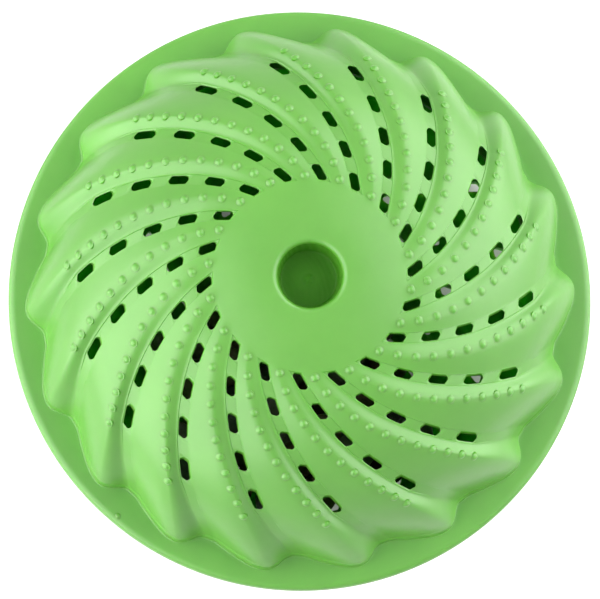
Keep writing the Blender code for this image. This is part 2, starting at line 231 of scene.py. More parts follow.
class BallSizes(bpy.types.PropertyGroup):
    """Sizes that a user may change, in metres."""

    ball_height: length("Ball Height", "Height of the closed ball", CAD_BOX[1][2] - CAD_BOX[0][2])
    flange_radius: length("Flange Radius", "Radius of the rim where the halves meet", 0.0550)
    wall: length("Wall", "Thickness of the moulded wall", 0.0018)
    wave_height: length("Wave Height", "Height of a ridge above the plain dome at its foot", 0.0019)
    slot_width: length("Slot Width", "Width of a water slot, square to its arm", 0.00168)
    channel_width: length("Channel Width", "Width of the channel that joins the slots", 0.0020)
    channel_depth: length("Channel Depth", "Depth of the shallow channel", 0.00016)
    nub_count: IntProperty(
        name="Nubs per Arm", description="Scrubbing nubs along each ridge", default=12, min=1
    )
    nub_radius: length("Nub Radius", "Radius of a scrubbing nub at its foot", 0.00074)
    nub_height: length("Nub Height", "Height of a scrubbing nub", 0.00038)
    nub_pitch: length("Nub Pitch", "Distance between neighbouring nubs along the ridge", 0.00356)


class BallColours(bpy.types.PropertyGroup):
    """Colours of the plastic, the beads and the magnets."""

    shell: colour("Shell", "Green of the moulded shells", (0.156, 0.492, 0.050))
    shell_deep: colour("Shell, Deep", "Darker green of the plastic's clouds", (0.132, 0.440, 0.038))
    # Painted shade: the cups' green is set darker than the shell's to stand in for the shade in these
    # deep hollows.
    cup: colour("Cups", "Green inside the hub's cups, which is duller", (0.084, 0.32, 0.021))
    cap: colour("Caps", "Green of the caps that hold the magnets", (0.10, 0.38, 0.05))
    magnet: colour("Magnets", "Dark grey of the pressed ferrite", (0.045, 0.045, 0.05))
    # Painted shade, in part: the cream beads' pale ceramic is set to a darker grey-cream for the dim
    # light inside the shell.
    bead_cream: colour("Cream Beads", "Pale ceramic", (0.44, 0.43, 0.37))
    bead_grey: colour("Grey Beads", "Blue-grey ceramic", (0.42, 0.43, 0.46))
    bead_tan: colour("Tan Beads", "Tan ceramic", (0.50, 0.38, 0.24))
    bead_brown: colour("Brown Beads", "Fired brown ceramic", (0.25, 0.13, 0.08))


class StudioSettings(bpy.types.PropertyGroup):
    """Camera and light."""

    camera_distance: length("Camera Distance", "From the camera to the middle of the ball", 4.0)
    camera_lean: angle("Camera Lean", "From the ball's axis to the line of sight", radians(7.6))
    camera_side: angle("Camera Side", "Side that the camera leans to, from +X", radians(247.5))
    view_width: length("View Width", "Width of the picture at the middle of the ball", 0.11333)
    sky: amount("Sky", "Brightness that the surroundings have on every side", 0.36)
    camera_shade: amount("Camera Shade", "What the camera takes from the light overhead", 0.57)
    left_lamp: amount("Left Lamp", "Brightness of the broad lamp on the left", 2.42)
    right_lamp: amount("Right Lamp", "Brightness of the broad lamp on the right", 2.42)
    back_shade: amount("Back Shade", "What a dark screen at the back takes from the light", 1.09)
    front_shade: amount("Front Shade", "How much darker the picture's lower side is", 0.30)
    table_width: length("Table Width", "Width of the pale table that the ball stands on", 0.17)
    # Painted shade and light on the floor: its glow is off within the first radius and full beyond the
    # second. The grey floor stays dark under the ball, and the glow paints over the ball's shadow
    # further out.
    painted_shade_start: length("Shade Start", "The floor shows its own shade up to this radius", 0.043)
    painted_shade_end: length("Shade End", "The floor shows as white paper from this radius", 0.052)
    floor_glow: amount("Floor Glow", "How much whiter the floor looks than it is lit", 0.95)
    # The floor's grey is set dark so that, where its glow is off under the ball, it shows as painted
    # shade.
    floor: colour("Floor", "Colour of the floor and backdrop", (0.42, 0.42, 0.42))


# Shape of a half shell


def eased(share):
    """A share of a width, with small steps at both ends."""
    return share - COLUMN_EASE * sin(2 * pi * share) / (2 * pi)


def side_ramp(share, rounding):
    """A fall from 1 to -1 across one side of a wave, with rounded ends."""
    start, end = rounding
    slope = 1 / (1 - start / 2 - end / 2)
    if share < start:
        fallen = slope * share**2 / (2 * start)
    elif share > 1 - end:
        fallen = 1 - slope * (1 - share) ** 2 / (2 * end)
    else:
        fallen = slope * (share - start / 2)
    return 1 - 2 * fallen


def corner_inset(distance, corner):
    """How far a slot's rounded corner stands in, at a distance from its end."""
    if distance >= SLOT_CORNER * (1 + cos(corner)):
        return 0.0
    across = SLOT_CORNER / tan(corner / 2)
    across -= sqrt(SLOT_CORNER**2 - (distance - SLOT_CORNER) ** 2)
    return across - distance / tan(corner)


def ellipse_through(near, far):
    """Half width and half height of the ellipse through two points."""
    span = (near[1] * far[0]) ** 2 - (near[0] * far[1]) ** 2
    width = sqrt(span / (near[1] ** 2 - far[1] ** 2))
    return width, sqrt(span / (far[0] ** 2 - near[0] ** 2))


def polar(radius, turned):
    """The x and y of a point at a radius and an angle round the axis."""
    return radius * cos(turned), radius * sin(turned)


def between(first, second, share):
    """Two pairs of numbers blended by a share."""
    return tuple(a + (b - a) * share for a, b in zip(first, second))


class HalfShape:
    """The faces of one half shell, hub up, with the parting plane at height 0."""

    def __init__(self, sizes):
        self.sizes = sizes
        self.top = sizes.ball_height / 2
        self.foot_radius = sizes.flange_radius - FLANGE_REACH
        self.width, self.rise = ellipse_through(
            (HUB_FLAT_RADIUS - CROWN_RADIUS, self.top - DOME_LIFT),
            (self.foot_radius - CROWN_RADIUS, FOOT_HEIGHT - DOME_LIFT),
        )
        self.first_slot = HUB_RADIUS + FIRST_SLOT_INSET
        self.last_slot = self.foot_radius - LAST_SLOT_INSET
        self.last_edge = self.last_slot + SLOT_LENGTH / 2
        self.arc, self.arc_distance = SLOT_ARC[0] * self.foot_radius, SLOT_ARC[1] * self.foot_radius
        self.foot_turn = self.turn_at(self.foot_radius - FOOT_FLARE)
        self.last_turn = self.valley_turn(self.last_edge)

    def turn_at(self, radius):
        """The profile angle at which the plain dome has this radius."""
        return asin((radius - CROWN_RADIUS) / self.width)

    def normal(self, turn):
        """Outward normal of the plain dome, as (radial, vertical)."""
        radial = sin(turn) / self.width
        vertical = cos(turn) / self.rise
        size = hypot(radial, vertical)
        return radial / size, vertical / size

    def arm_share(self, radius):
        """How far out along the arms a radius lies, from 0 to 1."""
        return max(0.0, (radius - HUB_RADIUS) / (self.foot_radius - HUB_RADIUS))

    def wave_share(self, radius):
        """How much of its full height a wave has at a radius."""
        share = self.arm_share(radius)
        early = share**WAVE_EARLY_GROWTH
        return WAVE_EARLY_SHARE * early + (1 - WAVE_EARLY_SHARE) * share**WAVE_LATE_GROWTH

    def ridge_angle(self, radius):
        """Angle round the axis of the first arm's ridge at a radius."""
        share = self.arm_share(radius)
        return RIDGE_START + RIDGE_SWEEP * share - RIDGE_BEND * share**3

    def slot_angle(self, radius):
        """Angle round the axis of the first arm's line of slots at a radius."""
        square = radius**2 + self.arc_distance**2 - self.arc**2
        return SLOT_ARC[2] - acos(square / (2 * radius * self.arc_distance))

    def slot_lean(self, radius):
        """Angle in plan between the line of slots and the radial direction."""
        square = radius**2 + self.arc**2 - self.arc_distance**2
        return pi / 2 - acos(square / (2 * radius * self.arc))

    def point(self, turn, wave, drop=0.0):
        """Radius and height of the outer face: wave is 1 on a ridge and -1 in a valley."""
        radius = CROWN_RADIUS + self.width * sin(turn)
        height = self.rise * cos(turn) + DOME_LIFT
        swell = self.sizes.wave_height * self.wave_share(radius) * wave - drop
        radial, vertical = self.normal(turn)
        flare = max(0.0, (turn - FLARE_START) / (self.foot_turn - FLARE_START)) ** 2
        inwards = min(1.0, max(0.0, 1 - (radius - HUB_RADIUS) / HUB_SINK_REACH))
        fall = FOOT_DROP * flare + HUB_SINK * (3 - 2 * inwards) * inwards**2
        return radius + radial * swell + FOOT_FLARE * flare, height + vertical * swell - fall

    def inner_point(self, turn, wave):
        """Radius and height of the inner face: straight below the outer one where slots are."""
        radius, height = self.point(turn, wave)
        radial, vertical = self.normal(turn)
        share = (turn - self.last_turn) / (self.foot_turn - self.last_turn)
        share = min(1.0, max(0.0, WALL_TURN_RATE * share))
        along = Vector((radial * share, vertical * share + 1 - share)).normalized()
        reach = self.sizes.wall / (along[0] * radial + along[1] * vertical)
        return radius - along[0] * reach, height - along[1] * reach

    def valley_turn(self, radius):
        """The profile angle at which the valley line has this radius."""
        low, high = self.turn_at(HUB_RADIUS), self.foot_turn
        for _ in range(VALLEY_SEARCH_COUNT):
            middle = (low + high) / 2
            if self.point(middle, -1)[0] < radius:
                low = middle
            else:
                high = middle
        return low

    def rows(self):
        """The dome's rows from the hub edge to the foot."""
        channel_depth = self.sizes.channel_depth
        even = (0.0, 0.0)
        rows = [Row(self.turn_at(HUB_RADIUS), even, 0, 0, False, 0)]

        def add(radius, insets=even, cut=0, opens=False, depth=channel_depth):
            """Adds a row at this radius of the valley line."""
            rows.append(Row(self.valley_turn(radius), insets, depth, cut, opens, 0))

        pitch = (self.last_slot - self.first_slot) / (SLOTS_PER_ARM - 1)
        reaches = [SLOT_CORNER * share for share in CORNER_STEPS]
        for slot in range(SLOTS_PER_ARM):
            start = self.first_slot + slot * pitch - SLOT_LENGTH / 2
            end = start + SLOT_LENGTH
            lean = self.slot_lean(start + SLOT_LENGTH / 2)
            sharp, blunt = pi / 2 - lean, pi / 2 + lean
            add(start - 3 * SLOT_CHAMFER, depth=0 if slot == 0 else channel_depth)
            add(start - SLOT_CHAMFER)
            for reach in reaches:
                insets = corner_inset(reach, sharp), corner_inset(reach, blunt)
                add(start + reach, insets, 2 if reach == 0 else 1, True)
            add(start + SLOT_LENGTH / 2, even, 1, True)
            for reach in reversed(reaches):
                insets = corner_inset(reach, blunt), corner_inset(reach, sharp)
                opens = reach > 0
                add(end - reach, insets, 1 if opens else 2, opens)
            add(end + SLOT_CHAMFER)
            if slot < SLOTS_PER_ARM - 1:
                for share in (0.25, 0.5, 0.75):
                    add(end + (pitch - SLOT_LENGTH) * share)
        last = rows[-1].turn
        for step in range(1, FOOT_ROW_COUNT + 1):
            share = step / FOOT_ROW_COUNT
            turn = last + (self.foot_turn - last) * share
            depth = channel_depth * max(0.0, 1 - CHANNEL_FADE * share)
            rows.append(Row(turn, even, depth, 0, False, share))
        return rows

    def stations(self, row):
        """One arm's (angle, wave, drop) places on a row, from its ridge onwards."""
        ridge = self.ridge_angle(self.point(row.turn, 1)[0])
        valley = self.point(row.turn, -1)[0]
        slot_radius = min(valley, self.last_edge)
        slot_ridge = self.ridge_angle(self.point(self.valley_turn(slot_radius), 1)[0])
        share = ((self.slot_angle(slot_radius) - slot_ridge) / ARM_ANGLE) % 1.0
        share += (FOOT_VALLEY_SHARE - share) * row.foot_share
        centre = ridge + share * ARM_ANGLE
        across = cos(self.slot_lean(slot_radius)) * valley
        full_width = self.sizes.channel_width
        channel_width = full_width + (FOOT_CHANNEL_WIDTH - full_width) * row.foot_share
        channel = channel_width / 2 / across
        step = CHANNEL_STEP / across
        slot = self.sizes.slot_width * channel_width / full_width / 2 / across
        slot_left = centre - slot + row.insets[0] / valley
        slot_right = centre + slot - row.insets[1] / valley
        cut_drop = row.depth + (SLOT_CHAMFER if row.cut else 0.0)
        end_drop = row.depth + (SLOT_CHAMFER if row.cut == 2 else 0.0)
        left, right = centre - channel, centre + channel
        steep = between(STEEP_ROUNDING, STEEP_FOOT_ROUNDING, row.foot_share**3)
        slow = between(SLOW_ROUNDING, SLOW_FOOT_ROUNDING, row.foot_share**3)
        parts = [eased(i / STEEP_COLUMNS) for i in range(STEEP_COLUMNS)]
        places = [(ridge + part * (left - ridge), side_ramp(part, steep), 0.0) for part in parts]
        places += [
            (left, -1, 0.0),
            (left + step, -1, row.depth),
            (slot_left, -1, cut_drop),
            ((slot_left + slot_right) / 2, -1, end_drop),
            (slot_right, -1, cut_drop),
            (right - step, -1, row.depth),
        ]
        reach = ridge + ARM_ANGLE - right
        parts = [eased(i / SLOW_COLUMNS) for i in range(SLOW_COLUMNS)]
        return places + [(right + part * reach, side_ramp(1 - part, slow), 0.0) for part in parts]

    def trough_height(self, radius):
        """Height of the flange's upper face, which falls towards the rim."""
        start = self.foot_radius - self.sizes.wave_height
        share = max(0.0, (radius - start) / (self.sizes.flange_radius - start))
        return FLANGE_THICKNESS + BRIM_CROWN - BRIM_FALL * share**2

    def magnet_heights(self):
        """Heights of the magnet's two faces, plug's top, boss's end and the cap's two faces."""
        steps = [CUP_DEPTH + self.sizes.wall + FIT_GAP, MAGNET_THICKNESS, FIT_GAP]
        steps += [CAP_PLUG_HEIGHT, FIT_GAP, CAP_THICKNESS]
        return [self.top - depth for depth in accumulate(steps)]

    def place(self, side):
        """Where a half shell stands: hub up, or turned over with its own turn."""
        place = Matrix.Translation((0, 0, self.top))
        if side == "lower":
            turn = Matrix.Rotation(LOWER_HALF_TURN, 4, "Z")
            place = place @ turn @ Matrix.Rotation(pi, 4, "X")
        return place

    def ridge_place(self, turn):
        """A point on the first arm's ridge line, as (x, y, z)."""
        radius, height = self.point(turn, 1)
        return Vector((*polar(radius, self.ridge_angle(radius)), height))


class Skin:
    """Points and faces of one piece, gathered ring by ring."""

    def __init__(self):
        self.points = []
        self.faces = []

    def add(self, points):
        """Adds points and returns their numbers."""
        first = len(self.points)
        self.points += points
        return list(range(first, len(self.points)))

    def ring(self, places):
        """Adds a closed ring of (radius, height, angle) points and returns their numbers."""
        return self.add([(*polar(radius, turned), height) for radius, height, turned in places])

    def circle(self, radius, height, count=HUB_SEGMENTS):
        return self.ring([(radius, height, 2 * pi * i / count) for i in range(count)])

    def angle(self, index):
        """Angle of a point round the axis."""
        return atan2(self.points[index][1], self.points[index][0])

    def face(self, corners, kind=0):
        self.faces.append((corners, kind))

    def stitch(self, first, second, skip=(), kind=0):
        """Joins two rings of equal count with quads."""
        count = len(first)
        for i in range(count):
            if i not in skip:
                j = (i + 1) % count
                self.face((first[i], first[j], second[j], second[i]), kind)

    def stitch_all(self, rings, kind=0):
        for first, second in zip(rings, rings[1:]):
            self.stitch(first, second, kind=kind)

    def stitch_by_angle(self, first, second):
        """Joins two rings of unlike count with triangles, by their angles."""
        zero = self.angle(first[0])

        def onwards(i):
            return (self.angle(i) - zero) % (2 * pi)

        a = [onwards(i) for i in first] + [2 * pi]
        start = min(range(len(second)), key=lambda k: onwards(second[k]))
        second = second[start:] + second[:start]
        b = [onwards(i) for i in second] + [2 * pi]
        b[-1] += b[0]
        i = j = 0
        while i < len(first) or j < len(second):
            if j == len(second) or (i < len(first) and a[i + 1] <= b[j + 1]):
                self.face((first[i], first[(i + 1) % len(first)], second[j % len(second)]))
                i += 1
            else:
                self.face((first[i % len(first)], second[(j + 1) % len(second)], second[j]))
                j += 1

    def close(self, ring, middle, kind=0):
        """Closes a ring with a fan about a middle point."""
        centre = self.add([middle])[0]
        for i, corner in enumerate(ring):
            self.face((corner, ring[(i + 1) % len(ring)], centre), kind)


def add_object(name, bm, materials):
    """Turns a bmesh into a linked object."""
    mesh = bpy.data.meshes.new(name)
    bm.to_mesh(mesh)
    bm.free()
    for material in materials:
        mesh.materials.append(material)
    obj = bpy.data.objects.new(name, mesh)
    bpy.context.collection.objects.link(obj)
    return obj


def add_piece(name, skin, materials, place):
    """Makes a smooth-shaded object from a skin's used points."""
    bm = bmesh.new()
    used = sorted({i for corners, _ in skin.faces for i in corners})
    made = {i: bm.verts.new(place @ Vector(skin.points[i])) for i in used}
    for corners, kind in skin.faces:
        face = bm.faces.new([made[i] for i in corners])
        face.material_index = kind
    bmesh.ops.recalc_face_normals(bm, faces=bm.faces)
    piece = add_object(name, bm, materials)
    piece.data.shade_smooth()
    piece.data.set_sharp_from_angle(angle=SHARP_ANGLE)
    return piece


def quarter_turn(steps):
    """Angles of a rounding in even steps."""
    return [pi / 2 * step / steps for step in range(steps + 1)]


def dome(skin, shape):
    """Both faces of the waved dome with its slots. Returns the end rings."""
    rows = shape.rows()
    outer, inner = [], []
    for row in rows:
        outer_places, inner_places = [], []
        stations = shape.stations(row)
        for arm in range(ARM_COUNT):
            for station, wave, drop in stations:
                turned = station + arm * ARM_ANGLE
                outer_places.append((*shape.point(row.turn, wave, drop), turned))
                inner_places.append((*shape.inner_point(row.turn, wave), turned))
        outer.append(skin.ring(outer_places))
        inner.append(skin.ring(inner_places))
    per_arm = len(outer[0]) // ARM_COUNT
    lefts = [arm * per_arm + STEEP_COLUMNS + 2 for arm in range(ARM_COUNT)]
    gaps = {i + column for i in lefts for column in (0, 1)}
    for number, row in enumerate(rows[:-1]):
        skip = gaps if row.opens else ()
        skin.stitch(outer[number], outer[number + 1], skip)
        skin.stitch(inner[number], inner[number + 1], skip, kind=2)
        if row.opens:
            for i in [left + column for left in lefts for column in (0, 2)]:
                here, there = outer[number][i], outer[number + 1][i]
                skin.face((here, there, inner[number + 1][i], inner[number][i]), 2)
    for above, below, row in zip(outer, inner, rows):
        if row.cut == 2:
            for i in gaps:
                skin.face((above[i], above[i + 1], below[i + 1], below[i]), 2)
    return outer[0], outer[-1], inner[0], inner[-1]


def hub_height(shape, radius):
    """Height of the hub's face, level at the cup and falling to the dome."""
    reach = HUB_RADIUS - HUB_CROWN_RADIUS
    share = max(0.0, (radius - HUB_CROWN_RADIUS) / reach)
    turn = shape.turn_at(HUB_RADIUS)
    drop = shape.top - shape.point(turn, 0)[1]
    slope = reach * shape.rise / shape.width * tan(turn)
    return shape.top - drop * (3 - 2 * share) * share**2 - slope * (share - 1) * share**2


def cup_floor_height(shape, x, y):
    """Height of the cup's floor, with the rough mark of the mould's gate."""
    grain = noise.noise(Vector((x * GATE_FINENESS, y * GATE_FINENESS, 3.7)))
    height = shape.top - CUP_DEPTH
    for (lift, middle, width), share in ((GATE_MOUND, 1), (GATE_GROOVE, 1), (GATE_GRAIN, grain)):
        height += lift * share * exp(-(((hypot(x, y) - middle) / width) ** 2))
    return height


def hub_and_cup(skin, shape, hub_ring):
    """The outer face of the hub, with its cup."""
    radius = HUB_RADIUS - HUB_EDGE_INSET
    rings = [skin.circle(radius, hub_height(shape, radius))]
    skin.stitch_by_angle(hub_ring, rings[0])
    while radius > HUB_RINGS_END:
        radius -= HUB_RING_STEP
        rings.append(skin.circle(radius, hub_height(shape, radius)))
    for turned in quarter_turn(7):
        radius = CUP_MOUTH_RADIUS + CUP_BEND * (1 - sin(turned))
        rings.append(skin.circle(radius, shape.top - CUP_BEND * (1 - cos(turned))))
    mouth, floor = shape.top - CUP_BEND, shape.top - CUP_DEPTH
    cup = [rings[-1]]
    for share in (0.33, 0.66, 1.0):
        radius = CUP_MOUTH_RADIUS + (CUP_FLOOR_RADIUS - CUP_MOUTH_RADIUS) * share
        cup.append(skin.circle(radius, mouth + (floor + CUP_FILLET - mouth) * share))
    for turned in quarter_turn(4)[1:]:
        radius = CUP_FLOOR_RADIUS - CUP_FILLET * (1 - cos(turned))
        cup.append(skin.circle(radius, floor + CUP_FILLET * (1 - sin(turned))))
    for radius in [radius_mm / 1000 for radius_mm in CUP_FLOOR_RADII_MM]:
        places = []
        for i in range(HUB_SEGMENTS):
            turned = 2 * pi * i / HUB_SEGMENTS
            places.append((radius, cup_floor_height(shape, *polar(radius, turned)), turned))
        cup.append(skin.ring(places))
    skin.stitch_all(rings)
    skin.stitch_all(cup, kind=1)
    skin.close(cup[-1], (0.0, 0.0, cup_floor_height(shape, 0, 0)), kind=1)


def magnet_boss(skin, shape, hub_ring):
    """The inner face of the hub, with its boss."""
    boss = CUP_MOUTH_RADIUS + shape.sizes.wall
    boss_end = shape.magnet_heights()[3]
    under = shape.top - shape.sizes.wall
    pocket = MAGNET_RADIUS + FIT_GAP
    profile = [
        (HUB_RADIUS - 0.001, shape.inner_point(shape.turn_at(HUB_RADIUS), 0)[1] + BEVEL),
        (boss + 0.002, under),
        (boss + BOSS_FILLET, under),
        (boss + BEVEL, under - BEVEL),
        (boss, under - BOSS_FILLET),
        (boss, boss_end + BEVEL),
        (boss - BEVEL, boss_end),
        (pocket + BEVEL, boss_end),
        (pocket, boss_end + BEVEL),
        (pocket, under - CUP_DEPTH),
    ]
    rings = [skin.circle(radius, height) for radius, height in profile]
    skin.stitch_by_angle(hub_ring, rings[0])
    skin.stitch_all(rings)
    skin.close(rings[-1], (0.0, 0.0, profile[-1][1]))


def flange(skin, shape, outer_foot, inner_foot, has_spigot):
    """The rim: skirt, fillet and trough, rounded edge, parting face and ledge."""
    edge = shape.sizes.flange_radius
    feet = []
    for i in outer_foot:
        x, y, z = skin.points[i]
        feet.append((hypot(x, y), z, atan2(y, x)))
    rings = [outer_foot]
    for out, share in SKIRT_STEPS:
        places = []
        for radius, height, turned in feet:
            drop = height - shape.trough_height(radius) - SKIRT_FILLET
            places.append((radius + SKIRT_DRAFT * out, height - drop * share, turned))
        rings.append(skin.ring(places))
    starts = [(radius + SKIRT_DRAFT + SKIRT_FILLET, turned) for radius, _, turned in feet]
    for bend in quarter_turn(4):
        inwards, upwards = SKIRT_FILLET * cos(bend), SKIRT_FILLET * (1 - sin(bend))
        rings.append(
            skin.ring([(r - inwards, shape.trough_height(r) + upwards, turned) for r, turned in starts])
        )
    for share in (0.2, 0.4, 0.6, 0.8, 1.0):
        places = []
        for start, turned in starts:
            out = start + (edge - BRIM_END_INSET - start) * share
            places.append((out, shape.trough_height(out), turned))
        rings.append(skin.ring(places))
    lip_top = shape.trough_height(edge - LIP_INSETS[0])
    profile = [(edge - LIP_START, shape.trough_height(edge - LIP_START))]
    profile += [(edge - inset, lip_top - drop) for inset, drop in zip(LIP_INSETS, LIP_DROPS)]
    profile += [(edge, PARTING + BEVEL), (edge - BEVEL, PARTING)]
    bore = shape.foot_radius - shape.sizes.wave_height - shape.sizes.wall - LEDGE_WIDTH
    if has_spigot:
        outside = bore - FIT_GAP
        bore = outside - SPIGOT_WIDTH
        profile += [
            (outside, PARTING),
            (outside, -SPIGOT_HEIGHT + BEVEL),
            (outside - BEVEL, -SPIGOT_HEIGHT),
            (bore + BEVEL, -SPIGOT_HEIGHT),
            (bore, -SPIGOT_HEIGHT + BEVEL),
        ]
    else:
        profile += [(bore + BEVEL, PARTING), (bore, PARTING + BEVEL)]
    profile += [(bore, FLANGE_THICKNESS)]
    for radius, height in profile:
        rings.append(skin.ring([(radius, height, turned) for _, _, turned in feet]))
    skin.stitch_all(rings + [inner_foot])


def nub_turns(shape):
    """Profile angles of one arm's nubs, evenly along the ridge."""
    turn = shape.turn_at(FIRST_NUB_RADIUS)
    turns = [turn]
    here = shape.ridge_place(turn)
    while len(turns) < shape.sizes.nub_count and turn < shape.foot_turn:
        turn += NUB_SEARCH_STEP
        place = shape.ridge_place(turn)
        if (place - here).length >= shape.sizes.nub_pitch:
            turns.append(turn)
            here = place
    return turns


def nub(skin, centre, normal, radius, height):
    """One scrubbing nub: a low dome with a flared foot, closed underneath."""
    side = normal.orthogonal().normalized()
    other = normal.cross(side)
    turns = [2 * pi * i / NUB_SEGMENTS for i in range(NUB_SEGMENTS)]
    rings = []
    for reach, lift in zip(NUB_REACHES, NUB_LIFTS):
        offsets = [(side * cos(i) + other * sin(i)) * radius * reach for i in turns]
        rings.append(skin.add([centre + offset + normal * height * lift for offset in offsets]))
    skin.close(rings[0], centre + normal * height)
    skin.stitch_all(rings)
    skin.face(rings[-1])


def nubs(shape):
    """All nubs of one half, and the small moulding dot on its flange."""
    skin = Skin()
    radius, height = shape.sizes.nub_radius, shape.sizes.nub_height
    for turn in nub_turns(shape):
        centre = shape.ridge_place(turn)
        radial, vertical = shape.normal(turn)
        normal = Vector((*polar(radial, atan2(centre.y, centre.x)), vertical))
        for arm in range(ARM_COUNT):
            turned = Matrix.Rotation(arm * ARM_ANGLE, 3, "Z")
            nub(skin, turned @ centre, turned @ normal, radius, height)
    reach = shape.sizes.flange_radius - DOT_INSET
    place = Vector((*polar(reach, DOT_SIDE), shape.trough_height(reach)))
    nub(skin, place, Vector((0, 0, 1)), radius * 0.75, height * 0.5)
    return skin


def turned_piece(profile):
    """A solid turned about the axis from (radius, height) points."""
    skin = Skin()
    rings = [skin.circle(radius, height, TURNED_SEGMENTS) for radius, height in profile]
    skin.close(rings[0], (0.0, 0.0, profile[0][1]))
    skin.stitch_all(rings)
    skin.close(rings[-1], (0.0, 0.0, profile[-1][1]))
    return skin


# Materials


class Nodes:
    """The nodes of one material or world, and how they are put together here."""

    def __init__(self, tree):
        self.tree = tree

    def new(self, kind, inputs=(), **settings):
        """A node of a kind with its settings, then its inputs."""
        node = self.tree.nodes.new(f"ShaderNode{kind}")
        for name, value in settings.items():
            setattr(node, name, value)
        self.fill(node, dict(inputs))
        return node

    def fill(self, node, inputs):
        """Links outputs to a node's inputs, and sets other values on the sockets."""
        for name, value in inputs.items():
            socket = node.inputs[name]
            if isinstance(value, bpy.types.NodeSocket):
                self.tree.links.new(value, socket)
            else:
                socket.default_value = (*value, 1.0) if socket.type == "RGBA" else value

    def noise(self, scale, detail, roughness):
        """A noise in the piece's own metres."""
        inputs = {"Scale": scale, "Detail": detail, "Roughness": roughness}
        inputs["Vector"] = self.new("TexCoord").outputs["Object"]
        return self.new("TexNoise", inputs).outputs["Fac"]

    def mixed(self, factor, first, second):
        """A colour between two, by a factor."""
        inputs = {"Factor": factor, "A": first, "B": second}
        return self.new("Mix", inputs, data_type="RGBA").outputs["Result"]

    def ranged(self, value, low, high, from_low=0.0, from_high=1.0):
        """A value moved from one range to another."""
        inputs = {"Value": value, "To Min": low, "To Max": high}
        inputs |= {"From Min": from_low, "From Max": from_high}
        return self.new("MapRange", inputs).outputs["Result"]

    def worked(self, operation, first, second):
        """Two values worked into one."""
        return self.new("Math", {0: first, 1: second}, operation=operation).outputs["Value"]

    def bump(self, shader, height, distance, strength):
        """Fine relief on a shader, from a height."""
        inputs = {"Strength": strength, "Distance": distance, "Height": height}
        self.fill(shader, {"Normal": self.new("Bump", inputs).outputs["Normal"]})

    def seen(self):
        """1 for what is seen directly, in a gloss or through something clear."""
        rays = self.new("LightPath").outputs
        first = self.worked("MAXIMUM", rays["Is Camera Ray"], rays["Is Glossy Ray"])
        return self.worked("MAXIMUM", first, rays["Is Transmission Ray"])


def new_material(name):
    """A node material, its nodes and its Principled shader."""
    material = bpy.data.materials.new(name)
    material.use_nodes = True
    tree = material.node_tree
    return material, Nodes(tree), tree.nodes["Principled BSDF"]


def shaded(plain, share):
    """A colour times a share."""
    return tuple(part * share for part in plain)


def waxy_plastic(nodes, shader, coat, specular, depth):
    """The body of the plastic: light sinks in a little, under a soft broad sheen."""
    inputs = {"IOR": 1.5, "Specular IOR Level": specular, "Subsurface Weight": 0.6}
    inputs |= {"Subsurface Radius": (0.5, 1.0, 0.3), "Subsurface Scale": depth}
    inputs |= {"Coat Weight": coat, "Coat Roughness": 0.40, "Coat IOR": 1.9}
    nodes.fill(shader, inputs)


def moulded_plastic(name, green, deep, roughness, coat=0.36, depth=0.0018):
    """Satin moulded plastic: cloudy, uneven in gloss and finely grained."""
    material, nodes, shader = new_material(name)
    clouds = nodes.ranged(nodes.noise(55.0, 5.0, 0.6), 0.0, 1.0, 0.35, 0.68)
    gloss = nodes.noise(420.0, 6.0, 0.6)
    gloss = nodes.ranged(gloss, roughness - 0.04, roughness + 0.05, 0.3, 0.7)
    nodes.fill(shader, {"Base Color": nodes.mixed(clouds, deep, green), "Roughness": gloss})
    nodes.bump(shader, nodes.noise(2600.0, 3.0, 0.5), 0.000012, 0.6)
    waxy_plastic(nodes, shader, coat, 0.5, depth)
    return material


def cup_plastic(name, green, deep, roughness):
    """The same for the cup, with the curved marks of the mould's cutter."""
    material, nodes, shader = new_material(name)
    clouds = nodes.ranged(nodes.noise(90.0, 5.0, 0.6), 0.0, 1.0, 0.35, 0.68)
    inputs = {"Location": (0.009, 0.004, 0.0), "Vector": nodes.new("TexCoord").outputs["Object"]}
    place = nodes.new("Mapping", inputs).outputs["Vector"]
    inputs = {"Vector": place, "Scale": 330.0, "Distortion": 1.6, "Detail": 3.0, "Detail Scale": 0.8}
    marks = nodes.new("TexWave", inputs, wave_type="RINGS", rings_direction="Z").outputs["Fac"]
    gloss = nodes.ranged(marks, roughness - 0.06, roughness + 0.08)
    nodes.fill(shader, {"Base Color": nodes.mixed(clouds, deep, green), "Roughness": gloss})
    nodes.bump(shader, marks, 0.00003, 0.5)
    waxy_plastic(nodes, shader, 0.0, 0.15, 0.0018)
    return material


def tumbled_ceramic(name, glaze):
    """Fired ceramic: speckled, cloudy and finely pitted, with a soft gloss."""
    material, nodes, shader = new_material(name)
    pale = tuple(min(1.0, part * 1.18 + 0.02) for part in glaze)
    clouds = nodes.noise(260.0, 4.0, 0.6)
    body = nodes.mixed(nodes.ranged(clouds, 0.0, 1.0, 0.3, 0.7), shaded(glaze, 0.88), pale)
    specks = nodes.ranged(nodes.noise(2600.0, 2.0, 0.5), 0.0, 0.75, 0.62, 0.72)
    speckled = nodes.mixed(specks, body, shaded(glaze, 0.55))
    nodes.fill(shader, {"Base Color": speckled, "Roughness": nodes.ranged(clouds, 0.32, 0.55)})
    nodes.bump(shader, nodes.noise(1500.0, 5.0, 0.6), 0.00006, 0.5)
    return material


def pressed_ferrite(name, grey):
    """Pressed ferrite: dull, granular and slightly sparkling."""
    material, nodes, shader = new_material(name)
    grains = nodes.noise(3200.0, 4.0, 0.6)
    body = nodes.mixed(nodes.ranged(grains, 0.0, 1.0, 0.35, 0.7), grey, shaded(grey, 1.9))
    gloss = nodes.ranged(grains, 0.5, 0.75)
    nodes.fill(shader, {"Base Color": body, "Roughness": gloss, "Metallic": 0.3})
    nodes.bump(shader, grains, 0.00003, 0.6)
    return material


# Operators


